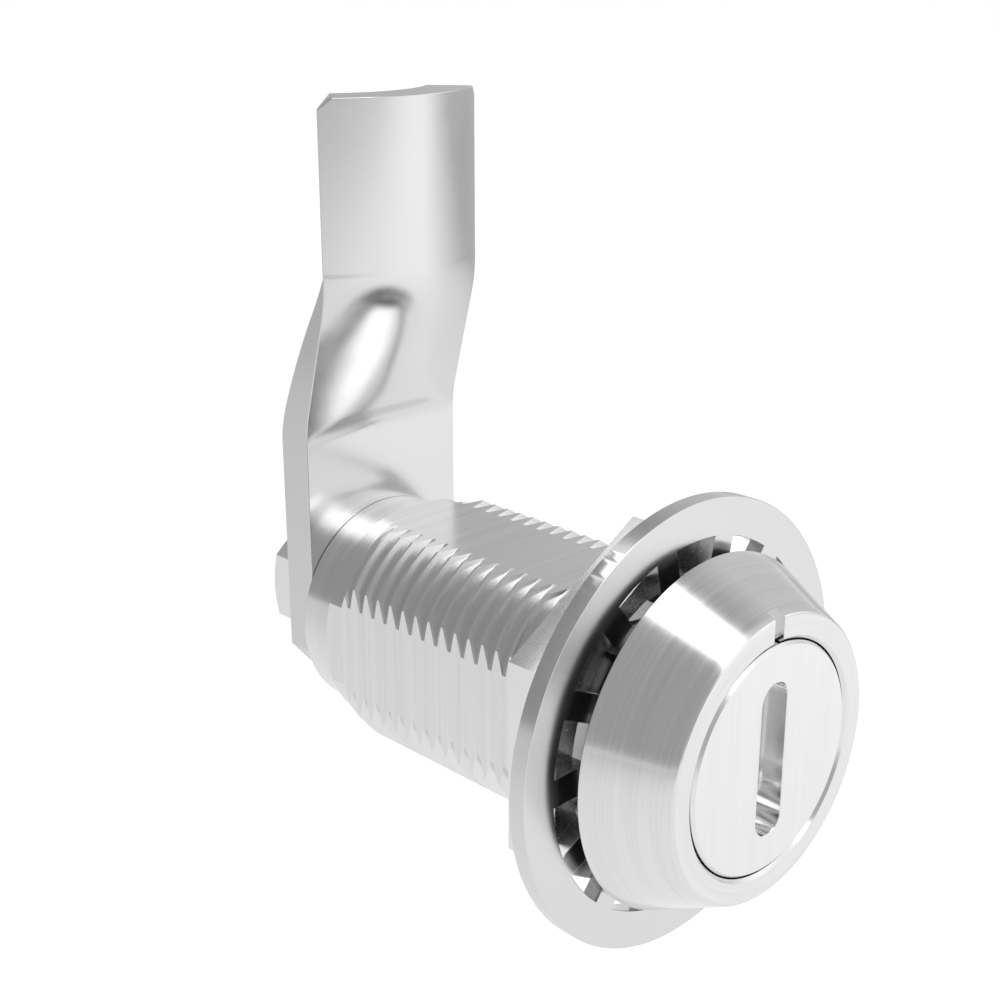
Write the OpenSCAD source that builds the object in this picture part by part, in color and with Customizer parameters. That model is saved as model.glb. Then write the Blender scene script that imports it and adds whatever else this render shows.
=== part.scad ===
// Compression latch for a thin panel: round head with a slotted driver, threaded barrel with
// four flats, a cranked cam behind it. The driver turns half a turn: its first quarter swings
// the cam, its second quarter runs a cross pin along a helical slot and pulls the cam in.
// Drawn closed and tight, cam up. The barrel runs along +Y, the head faces -Y, +Z is up, and
// the origin is the middle of the head's rear face, where the panel starts. Millimetres.

/* [Head] */
// widest diameter of the cone, at the panel
head_d = 27.9; // [26:0.1:30]
// diameter of the cone's front face
face_d = 22.2; // [21:0.1:23]
// height of the head in front of the panel
head_h = 6.15; // [5.5:0.05:8]
// straight land at the cone's rear edge
head_land = 0.3; // [0.1:0.1:0.6]
// chamfer of the head's front edge
head_chamfer = 0.15; // [0.1:0.05:0.5]
// width of the index notch in the face
notch_w = 1.1; // [0.6:0.1:1.6]
// depth of the index notch
notch_depth = 0.8; // [0.4:0.1:1.2]

/* [Driver] */
// diameter of the slotted disc
driver_d = 18; // [17.4:0.1:18.4]
// thickness of the driver's flange
flange_t = 3.5; // [3:0.1:4]
// width of the drive slot
slot_w = 3; // [2:0.25:4]
// length of the drive slot over its round ends
slot_l = 12.2; // [9:0.2:14]
// depth of the drive slot
slot_depth = 5; // [2.5:0.5:5]
// edge chamfer of the driver's face and of its recess
rim_chamfer = 0.25; // [0.1:0.05:0.4]

/* [Barrel] */
// outside diameter of the thread
barrel_d = 22; // [21.5:0.1:22.5]
// distance across opposite flats
flats_w = 18.95; // [18.5:0.05:19.5]
// length behind the panel's front face
barrel_l = 35.65; // [34:0.05:42]
// spacing of the thread grooves
thread_pitch = 1.5; // [1:0.25:2]
// depth of the thread grooves
thread_depth = 0.8; // [0.5:0.05:0.9]
// diameter of the round end behind the thread
boss_d = 18.7; // [18.3:0.1:19.1]

/* [Panel Fastening] */
// thickness of the rubber gasket
gasket_t = 0.5; // [0.3:0.1:1]
// panel thickness that the nut is set for
panel_t = 1; // [0.8:0.1:6]
// outside diameter of the toothed washer
washer_d = 35.4; // [32:0.2:38]
// thickness of the toothed washer
washer_t = 1.4; // [1:0.1:2]
// number of teeth
tooth_count = 14; // [10:1:18]
// width of a tooth
tooth_w = 2.2; // [1.4:0.1:3]
// hexagon nut, across flats
nut_af = 26.2; // [24.6:0.2:30]
// height of the nut
nut_h = 4.7; // [3:0.1:6]

/* [Cam] */
// width of the cam plate
cam_w = 16.6; // [15:0.2:18]
// thickness of the cam plate
cam_t = 3.3; // [2.5:0.1:4]
// height of the cam's tip above the barrel's axis
cam_h = 44.25; // [36:0.25:60]
// height where the plate starts to lean towards the panel
bend_z = 15.8; // [14:0.2:18]
// height where the curved tip starts
tip_z = 30.4; // [26:0.2:32]
// how far the tip's edges stand in front of the plate
crank = 2.95; // [0:0.05:5]
// radius of the tip's convex contact face
tip_r = 12.4; // [10:0.1:16]
// corner chamfer of the tip
tip_chamfer = 0.9; // [0.5:0.1:2]
// height of the cam's tail below the axis
tail_h = 8.3; // [7.5:0.1:9]

/* [Movement] */
// how far the second quarter turn pulls the cam in
stroke = 6; // [3:0.5:6]
// quarter turn of each stage, degrees
quarter = 90; // [60:5:90]
// radial clearance of the turning fits
clearance = 0.05; // [0.03:0.01:0.08]

/* [Spindle] */
// diameter of the spindle
spindle_d = 10; // [9.6:0.1:10.2]
// diameter of the cross pin
cross_pin_d = 3; // [2.5:0.1:3.2]
// diameter of the cam bolt's thread
bolt_d = 6; // [5:0.5:6]
// hexagon of the cam bolt, across flats
bolt_af = 10; // [8:0.5:11]

/* [Hidden] */
$fn = 96;
eps = 0.01;

recess_gap = 0.13;
driver_r = driver_d / 2;
recess_r = driver_r + recess_gap;
face_r = face_d / 2;
head_r = head_d / 2;
barrel_r = barrel_d / 2;
root_r = barrel_r - thread_depth;
bore_r = 7.6;
seat_y = -head_h + flange_t + 0.5;
driver_face_y = -head_h;
flange_back_y = -head_h + flange_t;

guide_r = bore_r - clearance;
sleeve_bore_r = 6.35;
sleeve_r = sleeve_bore_r - clearance;
spindle_r = spindle_d / 2;
spindle_bore_r = spindle_r + clearance;
pin_r = cross_pin_d / 2;
pin_y = barrel_l - stroke - 13.6;
spring_front_y = 1;
spring_r = 3.9;
wire_r = 0.45;
spring_turns = 6;
spindle_front_y = pin_y - 4;
sleeve_end_y = pin_y + stroke + 4;
bearing_y = sleeve_end_y + 0.3;
slot_gap = 0.08;
helix_steps = 15;

relief_r = 8.3;
relief_y = barrel_l - 2.6;
guide_front_y = seat_y + 0.1;
guide_end_y = barrel_l - 1.2;
clip_y = relief_y + 0.05;
clip_t = 1;
clip_groove_r = 7;

stop_pin_r = 1.5;
stop_pin_y = bearing_y + 1.7;
stop_floor_r = 6.25;
guide_ring_y = bearing_y + 4.6;
spindle_ring_y = clip_y - 0.75;
ring_cord_r = 0.55;
flange_cord_r = 0.6;
flange_ring_y = flange_back_y - 1.35;
snap_y = 1.4;
snap_t = 0.8;

last_groove_y = barrel_l - 6.1;
thread_end_y = barrel_l - 5;
chamfer_y = barrel_l - 3.5;
groove_count = floor((last_groove_y - 1.2) / thread_pitch);
crest_half = thread_pitch * 0.4375;
root_half = thread_pitch * 0.125;

washer_y = gasket_t + panel_t;
washer_r = washer_d / 2;
washer_bore_r = 14.72;
tooth_tip_r = barrel_r + 0.35;
nut_y = washer_y + washer_t;

cam_y = barrel_l + 0.3;
cam_back_y = cam_y + cam_t;
spindle_flange_y = guide_end_y + 0.15;
spindle_flange_r = 7.3;
tang_w = 8;
tang_r = 5.2;
flat_washer_r = 6;
flat_washer_t = 1.2;
spring_washer_r = 5.4;
spring_washer_t = 1.5;
spring_washer_split = 0.8;
bolt_seat_y = cam_back_y + flat_washer_t + spring_washer_t;
bolt_head_h = 4;
bolt_r = bolt_d / 2;
bolt_l = 13;

neck_first_bend = 0.21;
neck_last_bend = 0.26;
crease_step = 0.23;
crease_h = 0.35;
neck_twist = 0.7;
tail_half = 3.6;
tail_corner_z = -2.8;
cam_columns = 16;
cam_rows = 12;

// a profile of [radius, y] points turned about the barrel's axis
module turned(points) {
    rotate([-90, 0, 0]) rotate_extrude() polygon(points);
}

// a round bar along the barrel's axis
module bar(r, y0, y1) {
    translate([0, y0, 0]) rotate([-90, 0, 0]) cylinder(r = r, h = y1 - y0);
}

// a ring with a square section
module collar(r_in, r_out, y0, y1) {
    turned([[r_in, y0], [r_out, y0], [r_out, y1], [r_in, y1]]);
}

// a ring with a round section
module o_ring(r_mid, r_cord, y) {
    translate([0, y, 0]) rotate([-90, 0, 0]) rotate_extrude()
        translate([r_mid, 0]) circle(r = r_cord, $fn = 32);
}

// a prism along the barrel's axis with flats facing left and right
module hexagon(af, y0, y1) {
    translate([0, y0, 0]) rotate([-90, 0, 0]) rotate([0, 0, 30])
        cylinder(r = af / sqrt(3), h = y1 - y0, $fn = 6);
}

// a slot along the axis, cut through both walls by a pin that points sideways
module pin_slot(r, y0, y1, reach) {
    translate([0, y0, 0]) rotate([0, 90, 0]) cylinder(r = r, h = 2 * reach, center = true);
    translate([0, y1, 0]) rotate([0, 90, 0]) cylinder(r = r, h = 2 * reach, center = true);
    translate([-reach, y0, -r]) cube([2 * reach, y1 - y0, 2 * r]);
}

// thread grooves as [radius, y] points, from the head towards the cam
function groove(y) = [
    [barrel_r, y - crest_half],
    [root_r, y - root_half],
    [root_r, y + root_half],
    [barrel_r, y + crest_half]
];
function groove_y(i) = last_groove_y - (groove_count - i) * thread_pitch;

module barrel_outside() {
    intersection() {
        turned(concat(
            [[0, -1], [barrel_r, -1]],
            [for (i = [1 : groove_count]) each groove(groove_y(i))],
            [[barrel_r, barrel_l], [0, barrel_l]]));
        turned([[0, -2], [barrel_r, -2], [barrel_r, thread_end_y - 1.1],
                [root_r - 0.1, thread_end_y], [root_r - 0.1, chamfer_y],
                [boss_d / 2, chamfer_y + 0.7], [boss_d / 2, barrel_l - 0.15],
                [boss_d / 2 - 0.15, barrel_l], [0, barrel_l]]);
        translate([-flats_w / 2, -2, -flats_w / 2]) cube([flats_w, barrel_l + 3, flats_w]);
    }
}

module head_outside() {
    turned([[0, -head_h], [face_r - head_chamfer, -head_h],
            [face_r + head_chamfer * 0.4, -head_h + head_chamfer],
            [head_r, -head_land], [head_r, 0], [0, 0]]);
}

module housing() {
    color("#c9cbcd") difference() {
        union() {
            head_outside();
            barrel_outside();
        }
        turned([[0, -head_h - 1], [recess_r + rim_chamfer + 1, -head_h - 1],
                [recess_r + rim_chamfer, -head_h], [recess_r, -head_h + rim_chamfer],
                [recess_r, seat_y], [bore_r, seat_y], [bore_r, relief_y],
                [relief_r, relief_y], [relief_r, barrel_l + 1], [0, barrel_l + 1]]);
        translate([-notch_w / 2, -head_h - 1, recess_r - 1])
            cube([notch_w, notch_depth + 1, face_r]);
        translate([0, stop_pin_y, -bore_r + 2]) mirror([0, 0, 1])
            cylinder(r = stop_pin_r, h = barrel_r);
    }
}

module head_gasket() {
    color("#1c1c1d") collar(barrel_r + 0.05, head_r - 0.4, 0, gasket_t);
}

module thrust_washer() {
    color("#e8e6df") collar(sleeve_r + 0.1, recess_r - 0.1, flange_back_y, seat_y);
}

module stop_pin() {
    color("#9a9c9e") translate([0, stop_pin_y, -stop_floor_r - 0.15]) mirror([0, 0, 1])
        cylinder(r = stop_pin_r, h = flats_w / 2 - stop_floor_r - 0.3);
}

module tooth_washer() {
    color("#d0d2d4") union() {
        turned([[washer_bore_r, washer_y], [washer_r - 0.2, washer_y],
                [washer_r, washer_y + 0.2], [washer_r, nut_y], [washer_bore_r, nut_y]]);
        translate([0, washer_y, 0]) rotate([-90, 0, 0]) linear_extrude(height = washer_t)
            difference() {
                intersection() {
                    for (i = [0 : tooth_count - 1])
                        rotate(i * 360 / tooth_count)
                            translate([0, -tooth_w / 2]) square([washer_bore_r + 1, tooth_w]);
                    circle(r = washer_bore_r + 0.5);
                }
                circle(r = tooth_tip_r);
            }
    }
}

module hex_nut() {
    color("#bfc1c3") difference() {
        hexagon(nut_af, nut_y, nut_y + nut_h);
        turned([[0, nut_y - 1], [barrel_r + 1.35, nut_y - 1], [barrel_r + 0.35, nut_y],
                [barrel_r + clearance, nut_y + 0.3], [barrel_r + clearance, nut_y + nut_h - 0.3],
                [barrel_r + 0.35, nut_y + nut_h], [barrel_r + 1.35, nut_y + nut_h + 1],
                [0, nut_y + nut_h + 1]]);
    }
}

// turns inside the housing with the cam and carries the pin's straight slots
module guide_sleeve() {
    color("#8f9598") difference() {
        bar(guide_r, guide_front_y, guide_end_y);
        bar(sleeve_bore_r, guide_front_y - 1, bearing_y);
        bar(spindle_bore_r, bearing_y - 1, guide_end_y + 1);
        pin_slot(pin_r + slot_gap, pin_y, pin_y + stroke, guide_r + 1);
        collar(0, sleeve_bore_r + 0.5, snap_y - snap_t / 2 - 0.05, snap_y + snap_t / 2 + 0.05);
        collar(guide_r - 1.1, guide_r + 1, guide_ring_y - 0.6, guide_ring_y + 0.6);
        collar(0, spindle_bore_r + 1.1, spindle_ring_y - 0.6, spindle_ring_y + 0.6);
        collar(clip_groove_r, guide_r + 1, clip_y, clip_y + clip_t);
        stop_track();
    }
}

// quarter-turn track of the stop pin, with one round end at each stop
module stop_track() {
    intersection() {
        collar(stop_floor_r, guide_r + 1, stop_pin_y - stop_pin_r - slot_gap,
               stop_pin_y + stop_pin_r + slot_gap);
        rotate([-90, 0, 0]) linear_extrude(height = barrel_l)
            polygon([[0, 0], [0, 2 * guide_r],
                     [-2 * guide_r * sin(quarter), 2 * guide_r * cos(quarter)]]);
    }
    for (a = [0, quarter])
        rotate([0, a, 0]) translate([0, stop_pin_y, -stop_floor_r]) mirror([0, 0, 1])
            cylinder(r = stop_pin_r + slot_gap, h = 3);
}

module guide_o_ring() {
    color("#242425") o_ring(bore_r - 0.02 - ring_cord_r, ring_cord_r, guide_ring_y);
}

module spindle_o_ring() {
    color("#242425") o_ring(spindle_r + 0.02 + ring_cord_r, ring_cord_r, spindle_ring_y);
}

module guide_circlip() {
    color("#6f7376") difference() {
        collar(clip_groove_r, relief_r - 0.1, clip_y, clip_y + clip_t);
        translate([-1.2, clip_y - 1, 0]) cube([2.4, clip_t + 2, relief_r + 1]);
    }
}

// slotted disc and hollow sleeve whose two helical slots drive the cross pin
module driver() {
    color("#d6d8da") difference() {
        union() {
            turned([[0, driver_face_y], [driver_r - rim_chamfer, driver_face_y],
                    [driver_r, driver_face_y + rim_chamfer], [driver_r, flange_back_y],
                    [0, flange_back_y]]);
            bar(sleeve_r, flange_back_y - eps, sleeve_end_y);
        }
        bar(spindle_bore_r, spring_front_y, sleeve_end_y + 1);
        collar(driver_r - 1.15, driver_r + 1, flange_ring_y - flange_cord_r - 0.05,
               flange_ring_y + flange_cord_r + 0.05);
        collar(sleeve_r - 0.5, sleeve_r + 1, snap_y - snap_t / 2 - 0.05, snap_y + snap_t / 2 + 0.05);
        for (i = [0 : helix_steps])
            rotate([0, i * quarter / helix_steps, 0])
                translate([0, pin_y + i * stroke / helix_steps, 0]) rotate([0, 90, 0])
                    cylinder(r = pin_r + slot_gap, h = 4 * sleeve_r, center = true);
        drive_slot();
    }
}

module drive_slot() {
    half = (slot_l - slot_w) / 2;
    translate([-slot_w / 2, driver_face_y - 1, -half]) cube([slot_w, slot_depth + 1, 2 * half]);
    for (s = [-1, 1])
        translate([0, driver_face_y - 1, s * half]) rotate([-90, 0, 0])
            cylinder(r = slot_w / 2, h = slot_depth + 1);
}

module driver_o_ring() {
    color("#242425") o_ring(recess_r - 0.02 - flange_cord_r, flange_cord_r, flange_ring_y);
}

module driver_snap_ring() {
    color("#6f7376") difference() {
        collar(sleeve_r - 0.45, sleeve_bore_r + 0.4, snap_y - snap_t / 2, snap_y + snap_t / 2);
        translate([-1, snap_y - 1, 0]) cube([2, 2, guide_r]);
    }
}

// coil along y: ring j of the wire, corner k of its section
function coil_point(j, k, rc, rw, turns, per_turn, sides, y0, rise) =
    let (a = 360 * j / per_turn, b = 360 * k / sides, r = rc + rw * cos(b))
    [r * cos(a), y0 + rise * j / (turns * per_turn) + rw * sin(b), r * sin(a)];

module coil(rc, rw, turns, y0, y1) {
    per_turn = 20;
    sides = 8;
    rings = turns * per_turn;
    rise = y1 - y0 - 2 * rw;
    polyhedron(
        points = [for (j = [0 : rings]) for (k = [0 : sides - 1])
            coil_point(j, k, rc, rw, turns, per_turn, sides, y0 + rw, rise)],
        faces = concat(
            [[for (k = [0 : sides - 1]) k]],
            [for (j = [0 : rings - 1]) for (k = [0 : sides - 1])
                [j * sides + k, (j + 1) * sides + k,
                 (j + 1) * sides + (k + 1) % sides, j * sides + (k + 1) % sides]],
            [[for (k = [0 : sides - 1]) rings * sides + sides - 1 - k]]));
}

module return_spring() {
    color("#7d8184")
        coil(spring_r, wire_r, spring_turns, spring_front_y + 0.05, spindle_front_y - 0.05);
}

module spindle() {
    color("#a9adb0") difference() {
        union() {
            turned([[0, spindle_front_y], [spindle_r - 0.4, spindle_front_y],
                    [spindle_r, spindle_front_y + 0.4], [spindle_r, spindle_flange_y],
                    [spindle_flange_r, spindle_flange_y], [spindle_flange_r, cam_y], [0, cam_y]]);
            intersection() {
                translate([-tang_w / 2, cam_y - 1, -tang_w / 2])
                    cube([tang_w, cam_t + 0.8, tang_w]);
                bar(tang_r, cam_y - 2, cam_back_y + 1);
            }
        }
        translate([0, pin_y, 0]) rotate([0, 90, 0])
            cylinder(r = pin_r + eps, h = 4 * spindle_r, center = true);
        bar(bolt_r + 0.02, bolt_seat_y - bolt_l - 1, cam_back_y + 1);
    }
}

module cross_pin() {
    color("#86898c") translate([-guide_r + 0.1, pin_y, 0]) rotate([0, 90, 0])
        cylinder(r = pin_r, h = 2 * guide_r - 0.2);
}

// height within the neck, from 0 at the plate to 1 at the tip
function neck_t(z) = max(0, min(1, (z - bend_z) / (tip_z - bend_z)));
function ease(t) = t * t * (3 - 2 * t);
// lean of the neck's edges: a first bend, a straight run, then a last bend that levels out
function edge_lean(t) =
    (t < neck_first_bend ? t * t / (2 * neck_first_bend)
     : t < 1 - neck_last_bend ? t - neck_first_bend / 2
     : 1 - (neck_first_bend + neck_last_bend) / 2 - (1 - t) * (1 - t) / (2 * neck_last_bend))
    / (1 - (neck_first_bend + neck_last_bend) / 2);
function tip_swell(x) = sqrt(tip_r * tip_r - x * x) - sqrt(tip_r * tip_r - cam_w * cam_w / 4);
// the cam's front face: flat plate, leaning and swelling neck, a crease, then the curved tip
function front_y(x, z) = z > tip_z
    ? cam_y - crank - tip_swell(x)
    : cam_y - (crank + crease_step) * edge_lean(neck_t(z)) - tip_swell(x) * ease(neck_t(z));
function cam_x(i) = -cam_w / 2 + cam_w * i / cam_columns;
function front_point(i, z) = [cam_x(i), front_y(cam_x(i), z), z];
function back_point(i, z) =
    let (x = cam_x(i), a = asin(x / tip_r) * (z > tip_z ? 1 : neck_twist * neck_t(z)))
    [x - cam_t * sin(a), front_y(x, z) + cam_t * cos(a), z];

// bent strip of the plate's full width, longer than the cam at both ends
module cam_strip() {
    heights = concat([-tail_h - 2],
                     [for (j = [0 : cam_rows]) bend_z + (tip_z - bend_z) * j / cam_rows],
                     [tip_z + crease_h, cam_h + 2]);
    n = cam_columns + 1;
    last = len(heights) - 1;
    m = (last + 1) * n;
    polyhedron(
        points = concat([for (z = heights) for (i = [0 : cam_columns]) front_point(i, z)],
                        [for (z = heights) for (i = [0 : cam_columns]) back_point(i, z)]),
        faces = concat(
            [for (j = [0 : last - 1]) for (i = [0 : cam_columns - 1]) let (a = j * n + i) each [
                [a, a + n, a + 1], [a + 1, a + n, a + n + 1],
                [m + a, m + a + 1, m + a + n], [m + a + 1, m + a + n + 1, m + a + n]]],
            [for (j = [0 : last - 1]) let (a = j * n, b = a + n - 1) each [
                [a, m + a, a + n], [m + a, m + a + n, a + n],
                [b, b + n, m + b], [m + b, b + n, m + b + n]]],
            [for (i = [0 : cam_columns - 1]) let (b = last * n + i) each [
                [i, i + 1, m + i], [i + 1, m + i + 1, m + i],
                [b, m + b, b + 1], [b + 1, m + b, m + b + 1]]]));
}

module cam() {
    half = cam_w / 2;
    side_z = tail_corner_z + (tail_corner_z + tail_h) / (half - tail_half);
    color("#c4c7c9") difference() {
        intersection() {
            cam_strip();
            translate([0, cam_back_y + 1, 0]) rotate([90, 0, 0])
                linear_extrude(height = cam_t + crank + tip_r + 2)
                    polygon([[-half - 1, side_z], [-tail_half, -tail_h], [tail_half, -tail_h],
                             [half + 1, side_z], [half + 1, cam_h - tip_chamfer - 1],
                             [half - tip_chamfer, cam_h], [-half + tip_chamfer, cam_h],
                             [-half - 1, cam_h - tip_chamfer - 1]]);
        }
        intersection() {
            translate([-tang_w / 2 - 0.03, cam_y - 1, -tang_w / 2 - 0.03])
                cube([tang_w + 0.06, cam_t + 2, tang_w + 0.06]);
            bar(tang_r + 0.03, cam_y - 2, cam_back_y + 2);
        }
    }
}

module cam_washer() {
    color("#b9bbbd") collar(bolt_r + 0.2, flat_washer_r, cam_back_y, cam_back_y + flat_washer_t);
}

module cam_spring_washer() {
    color("#9c9fa1") difference() {
        collar(bolt_r + 0.1, spring_washer_r, cam_back_y + flat_washer_t, bolt_seat_y);
        translate([-spring_washer_split / 2, cam_back_y, 0])
            cube([spring_washer_split, bolt_seat_y + 1 - cam_back_y, spring_washer_r + 1]);
    }
}

module cam_bolt() {
    color("#c2c4c6") union() {
        intersection() {
            hexagon(bolt_af, bolt_seat_y, bolt_seat_y + bolt_head_h);
            turned([[0, bolt_seat_y - 1], [bolt_af, bolt_seat_y - 1],
                    [bolt_af, bolt_seat_y + bolt_head_h - (bolt_af - bolt_af * 0.48) * 0.577],
                    [bolt_af * 0.48, bolt_seat_y + bolt_head_h], [0, bolt_seat_y + bolt_head_h]]);
        }
        bar(bolt_r, bolt_seat_y - bolt_l, bolt_seat_y + 1);
    }
}

housing();
head_gasket();
thrust_washer();
stop_pin();
tooth_washer();
hex_nut();
guide_sleeve();
guide_o_ring();
spindle_o_ring();
guide_circlip();
driver();
driver_o_ring();
driver_snap_ring();
return_spring();
spindle();
cross_pin();
cam();
cam_washer();
cam_spring_washer();
cam_bolt();
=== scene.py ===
import math

import bmesh
import bpy
import numpy as np
from mathutils import Matrix, Vector


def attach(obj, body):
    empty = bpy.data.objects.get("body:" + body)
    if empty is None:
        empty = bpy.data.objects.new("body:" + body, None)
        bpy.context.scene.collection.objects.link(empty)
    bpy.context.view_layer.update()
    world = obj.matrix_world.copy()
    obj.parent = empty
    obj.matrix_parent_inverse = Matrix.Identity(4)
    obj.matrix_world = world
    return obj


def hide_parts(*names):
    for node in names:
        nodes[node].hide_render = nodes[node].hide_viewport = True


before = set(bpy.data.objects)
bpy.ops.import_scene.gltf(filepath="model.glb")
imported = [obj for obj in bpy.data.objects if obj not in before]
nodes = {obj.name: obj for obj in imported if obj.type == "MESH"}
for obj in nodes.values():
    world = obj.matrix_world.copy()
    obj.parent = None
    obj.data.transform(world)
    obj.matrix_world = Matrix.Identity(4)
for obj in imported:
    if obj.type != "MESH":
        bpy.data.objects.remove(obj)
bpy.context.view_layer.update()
scene = bpy.context.scene
MM = 0.001

# sizes in millimetres, as in the solids
HEAD_R, FACE_R, HEAD_H = 13.95, 11.1, 6.15
DRIVER_R, RECESS_R, RIM = 9.0, 9.13, 0.25
SLOT_W, SLOT_L, SLOT_DEPTH = 3.0, 12.2, 4.0
NOTCH_W, NOTCH_DEPTH = 1.1, 0.8
BARREL_R, ROOT_R, BARREL_L, FLAT = 11.0, 10.2, 35.65, 9.475
BORE_R, RELIEF_R, BOSS_R = 7.6, 8.3, 9.35
SEAT_Y, RELIEF_Y = -HEAD_H + 4.0, BARREL_L - 2.6
BARREL_END = BARREL_L + 0.26
PITCH, LAST_GROOVE = 1.5, BARREL_L - 6.1
THREAD_PHASE = 0.78
WASHER_Y, WASHER_T, WASHER_R = 1.5, 1.4, 17.7
WINDOW_R, TOOTH_R, TOOTH_W, TEETH = 14.72, 11.35, 2.2, 14
NUT_Y, NUT_H, NUT_AF = WASHER_Y + WASHER_T, 4.7, 26.2
CAM_Y, CAM_T, CAM_W, CAM_H = BARREL_L + 0.3, 3.3, 16.6, 44.25
BEND_Z, TIP_Z, CRANK, TIP_R, TIP_CHAMFER = 15.8, 30.4, 2.95, 12.4, 0.9
TIP_T = 3.9

# the cam's neck: shares of its height for the two bends, then the pressed flanks and web
FIRST_BEND, LAST_BEND, CREASE_STEP, CREASE_H = 0.21, 0.26, 0.02, 0.35
FLANK_SLOPE, FLANK_GAIN = 0.367, 0.67
WEB_POWER, WEB_START, FOLD_POWER, FOLD_END = 0.438, 0.18, 7.8, 0.517

TAIL, TAIL_HALF, TAIL_CORNER = 8.3, 3.6, -2.8
BOLT_Y, BOLT_H, BOLT_AF, BOLT_L = CAM_Y + CAM_T + 2.7, 4.0, 10.0, 13.0


# mesh helpers
def new_object(name, verts, faces, smooth=35):
    mesh = bpy.data.meshes.new(name)
    mesh.from_pydata([tuple(c * MM for c in v) for v in verts], [], faces)
    mesh.update()
    obj = bpy.data.objects.new(name, mesh)
    scene.collection.objects.link(obj)
    bm = bmesh.new()
    bm.from_mesh(mesh)
    bmesh.ops.remove_doubles(bm, verts=bm.verts, dist=1e-7)
    bmesh.ops.recalc_face_normals(bm, faces=bm.faces)
    bm.to_mesh(mesh)
    bm.free()
    shade(obj, smooth)
    return obj


def shade(obj, angle=35):
    mesh = obj.data
    mesh.polygons.foreach_set("use_smooth", [True] * len(mesh.polygons))
    mesh.set_sharp_from_angle(angle=math.radians(angle))
    mesh.update()


def turned(name, profile, steps=360, smooth=35):
    """A closed profile of (radius, y) turned about the Y axis."""
    n = len(profile)
    verts = []
    for i in range(steps):
        a = 2 * math.pi * i / steps
        c, s = math.cos(a), math.sin(a)
        verts += [(r * c, y, r * s) for r, y in profile]
    faces = []
    for i in range(steps):
        k = (i + 1) % steps
        for j in range(n):
            m = (j + 1) % n
            faces.append((i * n + j, i * n + m, k * n + m, k * n + j))
    return new_object(name, verts, faces, smooth)


def loft(name, loops, smooth=35, cap=True):
    """Closed loops of equal length joined in order, with flat caps."""
    n = len(loops[0])
    verts = [p for loop in loops for p in loop]
    faces = []
    for i in range(len(loops) - 1):
        for j in range(n):
            m = (j + 1) % n
            faces.append((i * n + j, i * n + m, (i + 1) * n + m, (i + 1) * n + j))
    if cap:
        faces.append(tuple(range(n)))
        faces.append(tuple((len(loops) - 1) * n + j for j in range(n)))
    return new_object(name, verts, faces, smooth)


def box(name, lo, hi):
    (a, b, c), (d, e, f) = lo, hi
    verts = [(x, y, z) for x in (a, d) for y in (b, e) for z in (c, f)]
    faces = [(0, 1, 3, 2), (4, 6, 7, 5), (0, 4, 5, 1), (2, 3, 7, 6), (0, 2, 6, 4), (1, 5, 7, 3)]
    return new_object(name, verts, faces)


def boolean(obj, cutter, operation, keep=False):
    mod = obj.modifiers.new("cut", "BOOLEAN")
    mod.operation = operation
    mod.solver = "EXACT"
    mod.object = cutter
    dg = bpy.context.evaluated_depsgraph_get()
    mesh = bpy.data.meshes.new_from_object(obj.evaluated_get(dg))
    obj.modifiers.remove(mod)
    obj.data = mesh
    if not keep:
        bpy.data.objects.remove(cutter)
    return obj


def outline_solid(name, outlines, y0, y1, edge, res=2):
    """A plate across Y, filled between 2D outlines of (x, z), with rounded edges."""
    curve = bpy.data.curves.new(name, "CURVE")
    curve.dimensions = "2D"
    curve.fill_mode = "BOTH"
    for outline in outlines:
        spline = curve.splines.new("POLY")
        spline.points.add(len(outline) - 1)
        for p, (x, z) in zip(spline.points, outline):
            p.co = (x * MM, -z * MM, 0, 1)
        spline.use_cyclic_u = True
    curve.bevel_depth = edge * MM
    curve.bevel_resolution = res
    curve.offset = -edge * MM
    curve.extrude = ((y1 - y0) / 2 - edge) * MM
    temp = bpy.data.objects.new(name, curve)
    scene.collection.objects.link(temp)
    dg = bpy.context.evaluated_depsgraph_get()
    mesh = bpy.data.meshes.new_from_object(temp.evaluated_get(dg))
    bpy.data.objects.remove(temp)
    mesh.transform(Matrix.Rotation(math.radians(-90), 4, "X"))
    mesh.transform(Matrix.Translation((0, (y0 + y1) / 2 * MM, 0)))
    obj = bpy.data.objects.new(name, mesh)
    scene.collection.objects.link(obj)
    bm = bmesh.new()
    bm.from_mesh(mesh)
    bmesh.ops.remove_doubles(bm, verts=bm.verts, dist=1e-7)
    bmesh.ops.recalc_face_normals(bm, faces=bm.faces)
    bm.to_mesh(mesh)
    bm.free()
    shade(obj, 15)
    flat_ends(obj)
    return obj


def flat_ends(obj):
    """Shades the faces that look along Y flat, so that the rounding beside them can't tilt them."""
    for face in obj.data.polygons:
        if abs(face.normal.y) > 0.9999:
            face.use_smooth = False


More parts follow.
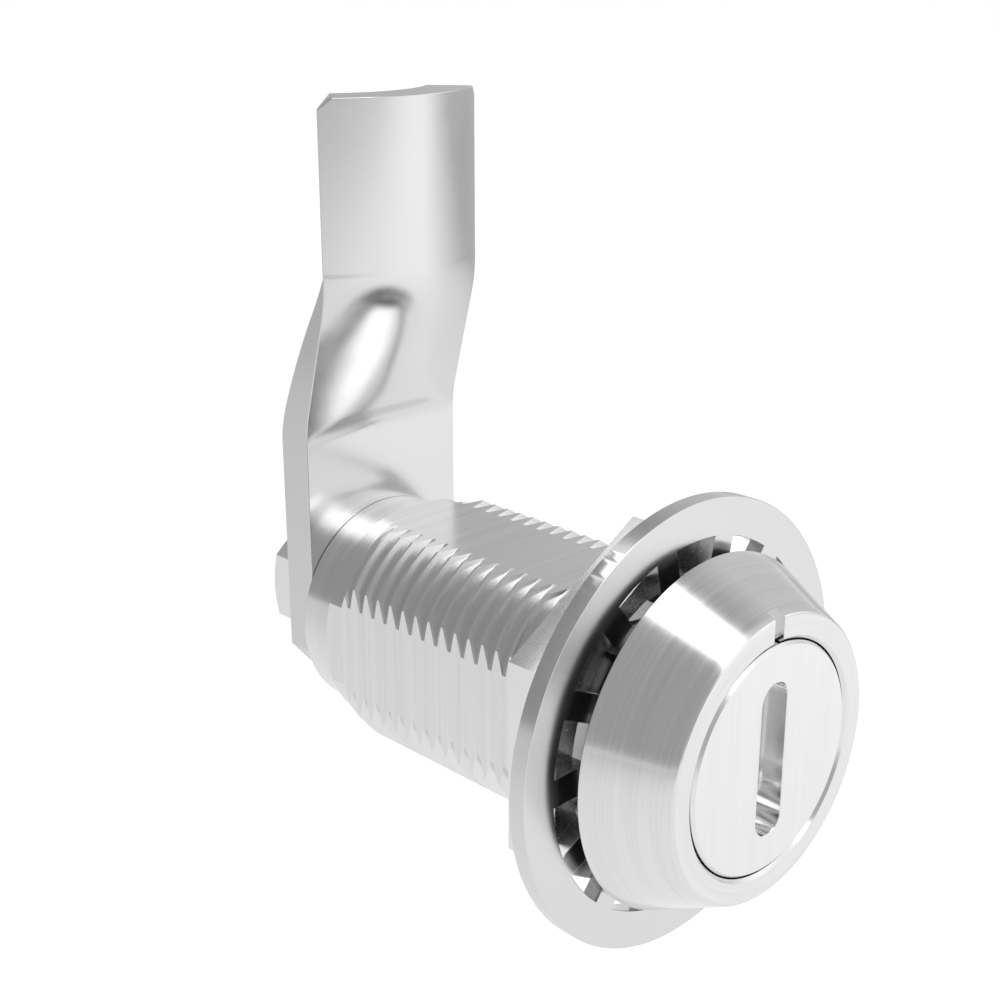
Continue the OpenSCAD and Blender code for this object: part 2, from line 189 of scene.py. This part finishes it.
# node helpers
class Nodes:
    def __init__(self, tree):
        self.tree = tree
        self.tree.nodes.clear()

    def add(self, kind, **props):
        node = self.tree.nodes.new(kind)
        for k, v in props.items():
            if isinstance(v, (int, float, tuple, list)) and k in node.inputs:
                node.inputs[k].default_value = v
            else:
                setattr(node, k, v)
        return node

    def link(self, a, b):
        self.tree.links.new(a, b)

    def math(self, op, a, b=None, c=None, clamp=False):
        node = self.tree.nodes.new("ShaderNodeMath")
        node.operation = op
        node.use_clamp = clamp
        for i, v in enumerate((a, b, c)):
            if v is None:
                continue
            if isinstance(v, (int, float)):
                node.inputs[i].default_value = v
            else:
                self.link(v, node.inputs[i])
        return node.outputs[0]

    def vector(self, x, y, z):
        node = self.tree.nodes.new("ShaderNodeCombineXYZ")
        for i, v in enumerate((x, y, z)):
            if isinstance(v, (int, float)):
                node.inputs[i].default_value = v
            else:
                self.link(v, node.inputs[i])
        return node.outputs[0]

    def noise(self, vector, scale, detail=2.0, rough=0.5):
        node = self.tree.nodes.new("ShaderNodeTexNoise")
        node.inputs["Scale"].default_value = scale
        node.inputs["Detail"].default_value = detail
        node.inputs["Roughness"].default_value = rough
        self.link(vector, node.inputs["Vector"])
        return node.outputs["Fac"]

    def ramp(self, value, lo, hi, out_lo, out_hi):
        node = self.tree.nodes.new("ShaderNodeMapRange")
        node.clamp = True
        for i, v in enumerate((lo, hi, out_lo, out_hi)):
            node.inputs[i + 1].default_value = v
        self.link(value, node.inputs[0])
        return node.outputs[0]


def place(n):
    """Object position as x, y, z and the radius about the Y axis, in metres."""
    coord = n.add("ShaderNodeTexCoord")
    split = n.add("ShaderNodeSeparateXYZ")
    n.link(coord.outputs["Object"], split.inputs[0])
    x, y, z = split.outputs
    r = n.math("SQRT", n.math("ADD", n.math("MULTIPLY", x, x), n.math("MULTIPLY", z, z)))
    return coord.outputs["Object"], x, y, z, r


GRAINS = {"tall": ((2600, 2600, 50), (700, 700, 20)), "across": ((40, 2600, 40), (15, 700, 15)),
          "fine": ((6000, 6000, 6000), (420, 420, 420))}
RING_GRAIN = ((0.9, 3600.0), (0.6, 900.0))  # marks per turn and lines per metre


def grain_vectors(n, grain, pos, x, y, z, r):
    """Two stretched sets of coordinates for the fine and the broad marks of a finish."""
    if grain != "round":
        out = []
        for scales in GRAINS[grain]:
            node = n.add("ShaderNodeVectorMath", operation="MULTIPLY")
            n.link(pos, node.inputs[0])
            node.inputs[1].default_value = scales
            out.append(node.outputs[0])
        return out
    safe = n.math("MAXIMUM", r, 1e-5)
    cx, cz, ring = n.math("DIVIDE", x, safe), n.math("DIVIDE", z, safe), n.math("ADD", y, r)
    return [n.vector(n.math("MULTIPLY", cx, turn), n.math("MULTIPLY", ring, lines),
                     n.math("MULTIPLY", cz, turn))
            for turn, lines in RING_GRAIN]


def principled(name):
    """A new material with its node tree and its Principled shader."""
    mat = bpy.data.materials.new(name)
    mat.use_nodes = True
    n = Nodes(mat.node_tree)
    out = n.add("ShaderNodeOutputMaterial")
    bsdf = n.add("ShaderNodeBsdfPrincipled")
    n.link(bsdf.outputs[0], out.inputs[0])
    return mat, n, bsdf


def color_mix(n, bsdf, fac, dark, light):
    mix = n.add("ShaderNodeMix", data_type="RGBA")
    n.link(fac, mix.inputs[0])
    mix.inputs[6].default_value = tuple(dark) + (1,)
    mix.inputs[7].default_value = tuple(light) + (1,)
    n.link(mix.outputs[2], bsdf.inputs["Base Color"])


def add_bump(n, bsdf, height, strength, distance):
    node = n.add("ShaderNodeBump")
    node.inputs["Strength"].default_value = strength
    node.inputs["Distance"].default_value = distance
    n.link(height, node.inputs["Height"])
    n.link(node.outputs[0], bsdf.inputs["Normal"])


def metal(name, level, rough, grain="fine", aniso=0.0, bump=0.02, spread=0.04):
    """Stainless steel; grain is round (about Y), tall (along Z), across (at a level y) or fine."""
    mat, n, bsdf = principled(name)
    bsdf.inputs["Metallic"].default_value = 1.0
    fine_at, wide_at = grain_vectors(n, grain, *place(n))
    fine = n.noise(fine_at, 1.0, 3.0, 0.6)
    wide = n.noise(wide_at, 1.0, 3.0, 0.55)
    mixed = n.math("ADD", n.math("MULTIPLY", fine, 0.5), n.math("MULTIPLY", wide, 0.5))
    color_mix(n, bsdf, n.ramp(mixed, 0.35, 0.65, 0.0, 1.0),
              (level * (1 - spread),) * 3, (min(1.0, level * (1 + spread)),) * 3)
    n.link(n.ramp(mixed, 0.3, 0.7, rough * 0.85, rough * 1.15), bsdf.inputs["Roughness"])
    if aniso:
        bsdf.inputs["Anisotropic"].default_value = aniso
        bsdf.inputs["Anisotropic Rotation"].default_value = 0.25
        tangent = n.add("ShaderNodeTangent", direction_type="RADIAL", axis="Y")
        n.link(tangent.outputs[0], bsdf.inputs["Tangent"])
    if bump:
        add_bump(n, bsdf, fine, bump, 0.0002)
    return mat


def moulded(name, color, rough):
    """Rubber or plastic with a fine moulded surface."""
    mat, n, bsdf = principled(name)
    pos = place(n)[0]
    scale = n.add("ShaderNodeVectorMath", operation="SCALE")
    n.link(pos, scale.inputs[0])
    scale.inputs["Scale"].default_value = 3000.0
    fac = n.noise(scale.outputs[0], 1.0, 4.0, 0.6)
    color_mix(n, bsdf, fac, (c * 0.7 for c in color), (c * 1.3 for c in color))
    n.link(n.ramp(fac, 0.3, 0.7, rough * 0.9, rough * 1.1), bsdf.inputs["Roughness"])
    add_bump(n, bsdf, fac, 0.1, 0.0001)
    return mat


def dress(obj, mat, body=None, replaces=()):
    obj.data.materials.clear()
    obj.data.materials.append(mat)
    if body:
        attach(obj, body)
    if replaces:
        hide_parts(*replaces)
    return obj


def mark(obj, mat, test):
    """A second finish on the faces that pass the test of normal and centre."""
    obj.data.materials.append(mat)
    for face in obj.data.polygons:
        if test(face.normal, face.center):
            face.material_index = 1


# head with its recess and index notch
def head_piece():
    cone = [(FACE_R + 0.1 + (HEAD_R - FACE_R - 0.11) * t, -HEAD_H + 0.18 + (HEAD_H - 0.27) * t)
            for t in np.linspace(0, 1, 12)]
    profile = [(RECESS_R + RIM, -HEAD_H), (RECESS_R + 0.7, -HEAD_H), (RECESS_R + 1.3, -HEAD_H),
               (FACE_R - 0.16, -HEAD_H), (FACE_R - 0.05, -HEAD_H + 0.03),
               (FACE_R + 0.03, -HEAD_H + 0.09)]
    profile += cone + [
        (HEAD_R, -0.05), (HEAD_R - 0.02, -0.01), (HEAD_R - 0.06, 0.0), (BORE_R, 0.0),
        (BORE_R, SEAT_Y), (RECESS_R, SEAT_Y), (RECESS_R, -HEAD_H + RIM)]
    obj = turned("head", profile, 480, 25)
    w, edge = NOTCH_W / 2, 0.06
    top, bottom = -HEAD_H - 0.5, -HEAD_H + NOTCH_DEPTH
    section = [(-w - edge - 0.5, top), (w + edge + 0.5, top), (w + edge, -HEAD_H),
               (w, -HEAD_H + edge), (w, bottom), (-w, bottom), (-w, -HEAD_H + edge),
               (-w - edge, -HEAD_H)]
    cutter = loft("notch", [[(x, y, z) for x, y in section] for z in (RECESS_R - 0.6, FACE_R + 3)])
    boolean(obj, cutter, "DIFFERENCE")
    shade(obj, 15)
    return obj


# barrel: a true helix, cut by the barrel's envelope and its flats
def helix_solid():
    steps = 180
    half_crest, half_root = PITCH * 0.0625, PITCH * 0.125
    tooth = [(-half_crest, BARREL_R), (half_crest, BARREL_R),
             (PITCH / 2 - half_root, ROOT_R), (PITCH / 2 + half_root, ROOT_R)]
    turns = 30
    start = LAST_GROOVE + THREAD_PHASE + PITCH / 2 - PITCH * 24
    rows = [(start + PITCH * k + dy, r) for k in range(turns) for dy, r in tooth]
    n, lead = len(rows), len(tooth)
    verts, faces = [], []
    for i in range(steps):
        a = 2 * math.pi * i / steps
        verts += [(r * math.cos(a), y - PITCH * i / steps, r * math.sin(a)) for y, r in rows]
    for i in range(steps):
        k = (i + 1) % steps
        back = lead if k == 0 else 0
        faces += [(i * n + j, i * n + j + 1, k * n + j + 1 - back, k * n + j - back)
                  for j in range(back, n - 1)]
    # both open ends are closed by fans
    seam = (steps - 1) * n
    low, high = len(verts), len(verts) + 1
    verts += [(0, start - 3 * PITCH, 0), (0, start + (turns + 2) * PITCH, 0)]
    first = [i * n for i in range(steps)] + [seam + j for j in range(1, lead + 1)]
    last = [i * n + n - 1 for i in range(steps)]
    first_loop = first[:steps] + first[steps:]
    faces += [(a, b, low) for a, b in zip(first_loop, first_loop[1:] + first_loop[:1])]
    last_loop = [n - 1 - j for j in range(lead, 0, -1)] + last
    faces += [(a, b, high) for a, b in zip(last_loop, last_loop[1:] + last_loop[:1])]
    return new_object("barrel", verts, faces, 30)


def barrel_piece():
    obj = helix_solid()
    end = BARREL_L - 5.0
    envelope = turned("envelope", [
        (RELIEF_R, BARREL_END), (BOSS_R - 0.05, BARREL_END), (BOSS_R, BARREL_END - 0.05),
        (BOSS_R, BARREL_L - 2.8), (ROOT_R - 0.1, BARREL_L - 3.5), (ROOT_R - 0.1, end),
        (BARREL_R, end - 1.0), (BARREL_R + 0.3, end - 1.3), (BARREL_R + 0.3, 2.2),
        (ROOT_R, 1.4), (ROOT_R, 0.0), (BORE_R, 0.0), (BORE_R, RELIEF_Y), (RELIEF_R, RELIEF_Y)],
        360, 30)
    boolean(obj, envelope, "INTERSECT")
    boolean(obj, box("flats", (-FLAT, -5, -FLAT), (FLAT, 50, FLAT)), "INTERSECT")
    shade(obj, 15)
    return obj


# slotted driver
def obround(w, l, grow, steps=24):
    r, h = w / 2 + grow, (l - w) / 2
    return ([(r * math.cos(t), h + r * math.sin(t)) for t in np.linspace(0, math.pi, steps)]
            + [(r * math.cos(t), -h + r * math.sin(t))
               for t in np.linspace(math.pi, 2 * math.pi, steps)])


def driver_piece():
    y0 = -HEAD_H
    profile = [
        (0.0, y0), (DRIVER_R - RIM, y0), (DRIVER_R - RIM + 0.03, y0 + 0.01),
        (DRIVER_R - 0.02, y0 + RIM - 0.02),
        (DRIVER_R, y0 + RIM + 0.02), (DRIVER_R, y0 + 1.5), (7.9, y0 + 1.5), (7.9, y0 + 2.8),
        (DRIVER_R, y0 + 2.8), (DRIVER_R, y0 + 3.5), (6.3, y0 + 3.5), (6.3, 26.0), (5.05, 26.0),
        (5.05, 1.0), (0.0, 1.0)]
    obj = turned("driver_disc", profile, 360, 25)
    depths = ((-0.5, 0.6), (0.0, 0.1), (0.03, 0.04), (0.1, 0.0),
              (SLOT_DEPTH - 0.1, 0.0), (SLOT_DEPTH, -0.1))
    cutter = loft("slot", [[(x, y0 + d, z) for x, z in obround(SLOT_W, SLOT_L, grow)]
                           for d, grow in depths])
    boolean(obj, cutter, "DIFFERENCE")
    shade(obj, 15)
    return obj


# washer and nut
def circle(r, steps):
    return [(r * math.cos(2 * math.pi * i / steps), r * math.sin(2 * math.pi * i / steps))
            for i in range(steps)]


def hexagon(af):
    r = af / math.sqrt(3)
    return [(r * math.sin(math.radians(60 * k)), r * math.cos(math.radians(60 * k)))
            for k in range(6)]


def window_outline():
    """The washer's bore: straight teeth between arcs of the window radius."""
    a_out, a_in = math.asin(TOOTH_W / 2 / WINDOW_R), math.asin(TOOTH_W / 2 / TOOTH_R)
    pitch = 2 * math.pi / TEETH
    points = []
    for i in range(TEETH):
        mid = i * pitch
        points += [(TOOTH_R, t) for t in np.linspace(mid - a_in, mid + a_in, 6)]
        points += [(WINDOW_R, t) for t in np.linspace(mid + a_out, mid + pitch - a_out, 16)]
    return [(r * math.cos(t), -r * math.sin(t)) for r, t in points]


def washer_piece():
    return outline_solid("washer", [circle(WASHER_R, 360), window_outline()],
                         WASHER_Y, WASHER_Y + WASHER_T, 0.05)


def nut_piece():
    return outline_solid("nut", [hexagon(NUT_AF), circle(BARREL_R + 0.35, 180)],
                         NUT_Y, NUT_Y + NUT_H, 0.1)


# cam: horizontal sections of the cranked and curved plate
def neck_t(z):
    return max(0.0, min(1.0, (z - BEND_Z) / (TIP_Z - BEND_Z)))


def edge_lean(t):
    bends = (FIRST_BEND + LAST_BEND) / 2
    if t < FIRST_BEND:
        run = t * t / (2 * FIRST_BEND)
    elif t < 1 - LAST_BEND:
        run = t - FIRST_BEND / 2
    else:
        run = 1 - bends - (1 - t) ** 2 / (2 * LAST_BEND)
    return run / (1 - bends)


def smooth_step(t):
    t = max(0.0, min(1.0, t))
    return t * t * (3 - 2 * t)


def tip_swell(x):
    """How far the round tip stands in front of its two long edges."""
    return math.sqrt(TIP_R ** 2 - x * x) - math.sqrt(TIP_R ** 2 - CAM_W ** 2 / 4)


def neck_fold(x, t):
    """Two flanks rise from the neck's edges to a web that grows out of the plate."""
    flank = FLANK_SLOPE * (1 + FLANK_GAIN * (t - 0.5)) * (CAM_W / 2 - abs(x))
    web = tip_swell(0) * edge_lean(t) ** WEB_POWER * smooth_step(t / WEB_START)
    return flank * web / max(1e-9, (flank ** FOLD_POWER + web ** FOLD_POWER) ** (1 / FOLD_POWER))


def front_y(x, z):
    swell = tip_swell(x)
    step = CREASE_STEP * (2 * x / CAM_W) ** 2
    if z > TIP_Z:
        return CAM_Y - CRANK - step * max(0.0, 1 - (z - TIP_Z) / CREASE_H) - swell
    t = neck_t(z)
    b = smooth_step((t - FOLD_END) / (1 - FOLD_END))
    return CAM_Y - (CRANK + step) * edge_lean(t) - swell * b - neck_fold(x, t) * (1 - b)


def back_point(x, z, thick):
    thick += (TIP_T - CAM_T) * neck_t(z) ** 2
    a = neck_t(z) ** 1.5 * math.asin(x / TIP_R)
    return Vector((x - thick * math.sin(a), front_y(x, z) + thick * math.cos(a), z))


def half_width(z):
    half = CAM_W / 2
    if z < TAIL_CORNER:
        return half - (TAIL_CORNER - z) / (TAIL + TAIL_CORNER) * (half - TAIL_HALF)
    return min(half, half - (z - (CAM_H - TIP_CHAMFER)))


def quarter(steps=4):
    """Angles of a rounded edge."""
    return np.linspace(0, math.pi / 2, steps)


def cam_section(z, inset, edge, columns=48):
    half = half_width(z) - inset
    xs = np.linspace(-half, half, columns + 1)
    ring = [Vector((x, front_y(x, z) + inset, z)) for x in xs]
    ring += [back_point(x, z, CAM_T - inset) for x in xs[::-1]]
    corners = (0, columns, columns + 1, 2 * columns + 1)
    loop = []
    for i, p in enumerate(ring):
        if i not in corners:
            loop.append(tuple(p))
            continue
        u = (ring[i - 1] - p).normalized() * edge
        v = (ring[(i + 1) % len(ring)] - p).normalized() * edge
        loop += [tuple(p + u * (1 - math.sin(t)) + v * (1 - math.cos(t))) for t in quarter()]
    return loop


def cam_piece():
    edge = 0.09
    rounding = [(edge * (1 - math.sin(t)), edge * (1 - math.cos(t))) for t in quarter()]
    rows = [(-TAIL + rise, inset) for inset, rise in rounding]
    levels = [-7.5, -5.5, TAIL_CORNER - 0.1, TAIL_CORNER, TAIL_CORNER + 0.1]
    levels += [4, 10, 14, BEND_Z - 0.1]
    levels += list(np.linspace(BEND_Z, TIP_Z - 0.04, 90))
    levels += [TIP_Z + rise for rise in (0, 0.04, CREASE_H - 0.04, CREASE_H, CREASE_H + 0.1)]
    levels += list(np.linspace(TIP_Z + 1, CAM_H - 1.4, 12))
    levels += [CAM_H - TIP_CHAMFER + d for d in (-0.05, 0, 0.05, 0.4)]
    rows += [(z, 0) for z in levels]
    rows += [(CAM_H - rise, inset) for rise, inset in rounding]
    obj = loft("cam_plate", [cam_section(z, inset, edge) for z, inset in rows], 24)
    boolean(obj, box("tang_hole", (-4.03, 30, -4.03), (4.03, 45, 4.03)), "DIFFERENCE")
    shade(obj, 12)
    return obj


def bolt_piece():
    top = BOLT_Y + BOLT_H
    obj = outline_solid("bolt_head", [hexagon(BOLT_AF)], BOLT_Y, top, 0.08)
    dome = turned("dome", [(0, 20), (9, 20), (9, top - 2.6), (4.75, top - 0.02), (4.6, top),
                           (0, top)], 180)
    boolean(obj, dome, "INTERSECT")
    shade(obj, 15)
    return obj


def bolt_shank():
    end = BOLT_Y - BOLT_L + 0.1
    return turned("bolt_shank", [(0, end), (2.6, end), (3.0, end + 0.4), (3.0, BOLT_Y),
                                 (0, BOLT_Y)], 96)


def gasket_piece():
    return turned("gasket", [
        (BARREL_R + 0.05, 0.0), (HEAD_R - 0.57, 0.0), (HEAD_R - 0.55, 0.05), (HEAD_R - 0.55, 0.42),
        (HEAD_R - 0.63, 0.5), (BARREL_R + 0.05, 0.5)], 240)


cone_metal = metal("brushed_round", 0.765, 0.19, "round", aniso=0.5, bump=0.0, spread=0.05)
face_metal = metal("brushed_face", 0.81, 0.24, "tall", spread=0.025)
slot_metal = metal("polished_slot", 0.83, 0.12, "fine", bump=0.0, spread=0.01)
flat_metal = metal("turned_barrel", 0.77, 0.2, "across", bump=0.01, spread=0.05)
washer_metal = metal("satin_washer", 0.7, 0.2, "fine", bump=0.0, spread=0.01)
nut_metal = metal("satin_nut", 0.84, 0.26, "fine", bump=0.0, spread=0.03)
cam_metal = metal("satin_cam", 0.71, 0.19, "fine", spread=0.01)
cut_metal = metal("cut_edge", 0.72, 0.34, "tall", spread=0.02)
inner_metal = metal("inner_steel", 0.56, 0.32, "round", bump=0.03)
black_rubber = moulded("black_rubber", (0.012, 0.012, 0.013), 0.6)
plastic = moulded("bearing_plastic", (0.82, 0.81, 0.78), 0.45)

head = dress(head_piece(), cone_metal, "housing", ["housing"])
mark(head, slot_metal, lambda normal, p: abs(normal.x) > 0.9 and p.z > 8.5 * MM and p.y < -5.3 * MM)
dress(barrel_piece(), flat_metal, "housing", ["housing"])
disc = dress(driver_piece(), face_metal, "driver", ["driver"])
mark(disc, slot_metal, lambda normal, p: p.xz.length < SLOT_L / 2 * MM
     and 0.05 * MM < p.y + HEAD_H * MM < (SLOT_DEPTH + 0.1) * MM)
dress(gasket_piece(), black_rubber, "housing", ["head_gasket"])
dress(washer_piece(), washer_metal, "washer", ["tooth_washer"])
dress(nut_piece(), nut_metal, "nut", ["hex_nut"])
plate = dress(cam_piece(), cam_metal, "cam", ["cam"])
mark(plate, cut_metal, lambda normal, p: abs(normal.x) > 0.7)
dress(bolt_piece(), nut_metal, "cam", ["cam_bolt"])
dress(bolt_shank(), nut_metal, "cam", ["cam_bolt"])

finishes = {
    "thrust_washer": plastic, "stop_pin": inner_metal, "guide_sleeve": inner_metal,
    "guide_o_ring": black_rubber, "spindle_o_ring": black_rubber, "guide_circlip": inner_metal,
    "driver_o_ring": black_rubber, "driver_snap_ring": inner_metal, "return_spring": inner_metal,
    "spindle": inner_metal, "cross_pin": inner_metal, "cam_washer": nut_metal,
    "cam_spring_washer": inner_metal, "housing": flat_metal, "head_gasket": black_rubber,
    "tooth_washer": washer_metal, "hex_nut": nut_metal, "driver": face_metal, "cam": cam_metal,
    "cam_bolt": nut_metal}
for name, mat in finishes.items():
    data = nodes[name].data
    data.materials.clear()
    data.materials.append(mat)


# studio: grey room, brighter to the right, a white floor whose glow holds a painted pool of light,
# and a long lamp overhead
def studio_world():
    world = bpy.data.worlds.new("studio")
    scene.world = world
    world.use_nodes = True
    n = Nodes(world.node_tree)
    out = n.add("ShaderNodeOutputWorld")
    coord = n.add("ShaderNodeTexCoord")
    split = n.add("ShaderNodeSeparateXYZ")
    n.link(coord.outputs["Generated"], split.inputs[0])
    x, y, z = split.outputs
    right = n.ramp(x, 0.42, 0.75, 0.40, 0.66)
    rear = n.ramp(y, 0.3, 0.7, 0.0, -0.06)
    card = n.math("MULTIPLY", n.ramp(x, -0.05, 0.28, 0.0, 0.6), n.ramp(y, -0.45, -0.1, 1.0, 0.0))
    front = n.ramp(y, -0.75, -0.4, 0.1, 0.0)
    room = n.add("ShaderNodeBackground")
    room.inputs["Color"].default_value = (1, 1, 1, 1)
    n.link(n.math("ADD", n.math("ADD", right, rear), n.math("ADD", card, front)),
           room.inputs["Strength"])
    white = n.add("ShaderNodeBackground")
    white.inputs["Color"].default_value = (1, 1, 1, 1)
    white.inputs["Strength"].default_value = 1.0
    path = n.add("ShaderNodeLightPath")
    mirrored = n.math("MAXIMUM", path.outputs["Is Glossy Ray"], path.outputs["Is Transmission Ray"])
    horizon = n.ramp(z, -0.02, 0.04, 1.0, 0.0)
    mix = n.add("ShaderNodeMixShader")
    n.link(n.math("MAXIMUM", path.outputs["Is Camera Ray"], n.math("MULTIPLY", mirrored, horizon)),
           mix.inputs[0])
    n.link(room.outputs[0], mix.inputs[1])
    n.link(white.outputs[0], mix.inputs[2])
    n.link(mix.outputs[0], out.inputs[0])


def floor():
    size, z = 1.5, -0.05
    corners = [(-size, -size, z), (size, -size, z), (size, size, z), (-size, size, z)]
    mesh = bpy.data.meshes.new("floor")
    mesh.from_pydata(corners, [], [(0, 1, 2, 3)])
    obj = bpy.data.objects.new("floor", mesh)
    scene.collection.objects.link(obj)
    mat = bpy.data.materials.new("floor")
    mat.use_nodes = True
    n = Nodes(mat.node_tree)
    out = n.add("ShaderNodeOutputMaterial")
    diffuse = n.add("ShaderNodeBsdfDiffuse")
    diffuse.inputs[0].default_value = (0.9, 0.9, 0.9, 1)
    coord = n.add("ShaderNodeTexCoord")
    split = n.add("ShaderNodeSeparateXYZ")
    n.link(coord.outputs["Object"], split.inputs[0])
    x, y = split.outputs[0], split.outputs[1]
    along = n.math("MULTIPLY", n.math("SUBTRACT", x, y), math.sqrt(0.5))
    sideways = n.math("MULTIPLY", n.math("ADD", x, y), math.sqrt(0.5))
    across = n.math("ABSOLUTE", n.math("ADD", sideways, 0.2))
    # painted light: for reflected rays the floor glows brighter near the part and dimmer across it,
    # a painted pool of lamp light on the floor
    lit = n.math("ADD", n.ramp(along, -0.25, 0.15, 0.75, 1.17), n.ramp(along, 0.15, 0.5, 0.0, 0.13))
    painted_pool = n.math("MINIMUM", lit, n.ramp(across, 0.15, 0.55, 1.32, 0.5))
    path = n.add("ShaderNodeLightPath")
    glow = n.add("ShaderNodeEmission")
    n.link(n.math("MAXIMUM", painted_pool, n.math("MULTIPLY", path.outputs["Is Camera Ray"], 1.1)),
           glow.inputs["Strength"])
    mirrored = n.math("MAXIMUM", path.outputs["Is Glossy Ray"], path.outputs["Is Transmission Ray"])
    seen = n.math("MAXIMUM", path.outputs["Is Camera Ray"], mirrored)
    mix = n.add("ShaderNodeMixShader")
    n.link(n.math("MULTIPLY", seen, 0.88), mix.inputs[0])
    n.link(diffuse.outputs[0], mix.inputs[1])
    n.link(glow.outputs[0], mix.inputs[2])
    n.link(mix.outputs[0], out.inputs[0])
    mesh.materials.append(mat)


def lamp(name, position, size, power):
    """A rectangular lamp that faces down; its long side lies along Y."""
    data = bpy.data.lights.new(name, "AREA")
    data.shape = "RECTANGLE"
    data.size, data.size_y = size
    data.energy = power
    obj = bpy.data.objects.new(name, data)
    scene.collection.objects.link(obj)
    obj.location = position


def camera():
    az, el = math.radians(-44.748), math.radians(19.544)
    back = Vector((math.sin(az) * math.cos(el), -math.cos(az) * math.cos(el), math.sin(el)))
    right = Vector((math.cos(az), math.sin(az), 0))
    data = bpy.data.cameras.new("camera")
    data.sensor_fit = "HORIZONTAL"
    data.sensor_width = 36
    data.lens = 58.343
    data.clip_start = 0.005
    obj = bpy.data.objects.new("camera", data)
    scene.collection.objects.link(obj)
    m = Matrix((right, back.cross(right), back)).transposed().to_4x4()
    m.translation = Vector((-0.086748, -0.065889, 0.056597))
    obj.matrix_world = m
    scene.camera = obj


studio_world()
floor()
lamp("overhead", (0.072, -0.52, 1.2), (0.552, 2.84), 8.0)
camera()
scene.view_settings.view_transform = "Standard"
